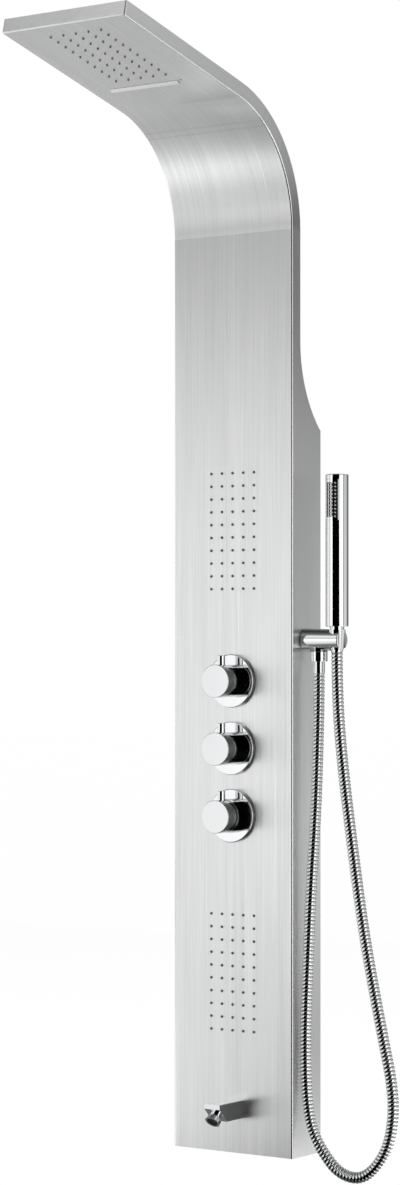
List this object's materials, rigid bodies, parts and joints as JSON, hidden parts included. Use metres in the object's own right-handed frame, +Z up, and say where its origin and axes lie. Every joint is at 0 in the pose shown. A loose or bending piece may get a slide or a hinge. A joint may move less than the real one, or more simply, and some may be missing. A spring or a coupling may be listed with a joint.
{
  "type": "shower panel column",
  "caption": "Wall-hung brushed steel shower column with sloping rain head, waterfall slot, body jets, turning knobs, tub spout and a hand shower on a ribbed metal hose.",
  "frame": {"origin": "on the wall plane, at the middle of the rectangle of the four wall bolt holes", "axes": "+Z up, +Y into the wall, -Y out of the front face, +X to the side that carries the hand shower"},
  "size_m": [0.3542, 0.463, 1.5585],
  "materials": {
    "brushed_steel_face": "vertically brushed stainless steel",
    "steel_sheet": "plain stainless sheet",
    "steel_bracket": "zinc-plated steel",
    "nozzle_rubber": "grey silicone",
    "water_box_plastic": "moulded black plastic",
    "valve_brass": "machined brass",
    "inner_hose_plastic": "white reinforced hose",
    "hose_chrome": "polished metal hose",
    "nut_brass": "machined brass",
    "screw_steel": "dark steel",
    "lip_steel": "bright stainless sheet",
    "chrome": "polished chrome"
  },
  "bodies": {
    "column": {"bottom_tray": "steel_sheet", "cold_inlet": "valve_brass", "front_shell": "brushed_steel_face", "handset_hose": "inner_hose_plastic", "holder_body": "chrome", "holder_nut": "nut_brass", "hose_lower_ferrule": "chrome", "hose_outlet_nut": "chrome", "hot_inlet": "valve_brass", "jets_cartridge": "valve_brass", "jets_collar": "chrome", "jets_flange": "chrome", "lower_hanger_rail": "steel_bracket", "lower_jet_manifold": "water_box_plastic", "lower_jet_mat": "nozzle_rubber", "lower_jets_hose": "inner_hose_plastic", "lower_wall_bracket": "steel_bracket", "mixing_valve": "valve_brass", "rain_cartridge": "valve_brass", "rain_chamber": "water_box_plastic", "rain_collar": "chrome", "rain_flange": "chrome", "rain_hose": "inner_hose_plastic", "rain_nozzle_mat": "nozzle_rubber", "rear_cover": "steel_sheet", "shower_hose": "hose_chrome", "spout_aerator": "chrome", "spout_body": "chrome", "spout_hose": "inner_hose_plastic", "spout_nut": "nut_brass", "temperature_cartridge": "valve_brass", "temperature_collar": "chrome", "temperature_flange": "chrome", "upper_hanger_rail": "steel_bracket", "upper_jet_manifold": "water_box_plastic", "upper_jet_mat": "nozzle_rubber", "upper_jets_hose": "inner_hose_plastic", "upper_wall_bracket": "steel_bracket", "waterfall_chamber": "water_box_plastic", "waterfall_hose": "inner_hose_plastic", "waterfall_lip": "lip_steel"},
    "rain_control": {"rain_grub_screw": "screw_steel", "rain_knob": "chrome", "rain_pin": "chrome", "rain_spindle": "valve_brass"},
    "jets_control": {"jets_grub_screw": "screw_steel", "jets_knob": "chrome", "jets_pin": "chrome", "jets_spindle": "valve_brass"},
    "temperature_control": {"temperature_grub_screw": "screw_steel", "temperature_knob": "chrome", "temperature_pin": "chrome", "temperature_spindle": "valve_brass"},
    "hose_end": {"hose_upper_ferrule": "chrome"},
    "handset": {"handset_cone_nut": "chrome", "handset_tube": "chrome", "handset_spray_face": "chrome", "handset_end_cap": "chrome"}
  },
  "joints": [
    {"name": "rain_turn", "type": "hinge", "parent": "column", "child": "rain_control", "pos_m": [0, -0.105, 0.1275], "axis": [0, 1, 0], "range_deg": [-90, 90]},
    {"name": "jets_turn", "type": "hinge", "parent": "column", "child": "jets_control", "pos_m": [0, -0.105, 0.03325], "axis": [0, 1, 0], "range_deg": [-90, 90]},
    {"name": "temperature_turn", "type": "hinge", "parent": "column", "child": "temperature_control", "pos_m": [0, -0.105, -0.061], "axis": [0, 1, 0], "range_deg": [-60, 120]},
    {"name": "handset_lift", "type": "slide", "parent": "column", "child": "hose_end", "axis": [0, 0, 1], "range_m": [0, 0.08]},
    {"name": "handset_swivel", "type": "hinge", "parent": "hose_end", "child": "handset", "pos_m": [0.1525, -0.04, 0.1805], "axis": [0, 0, 1], "continuous": true}
  ]
}
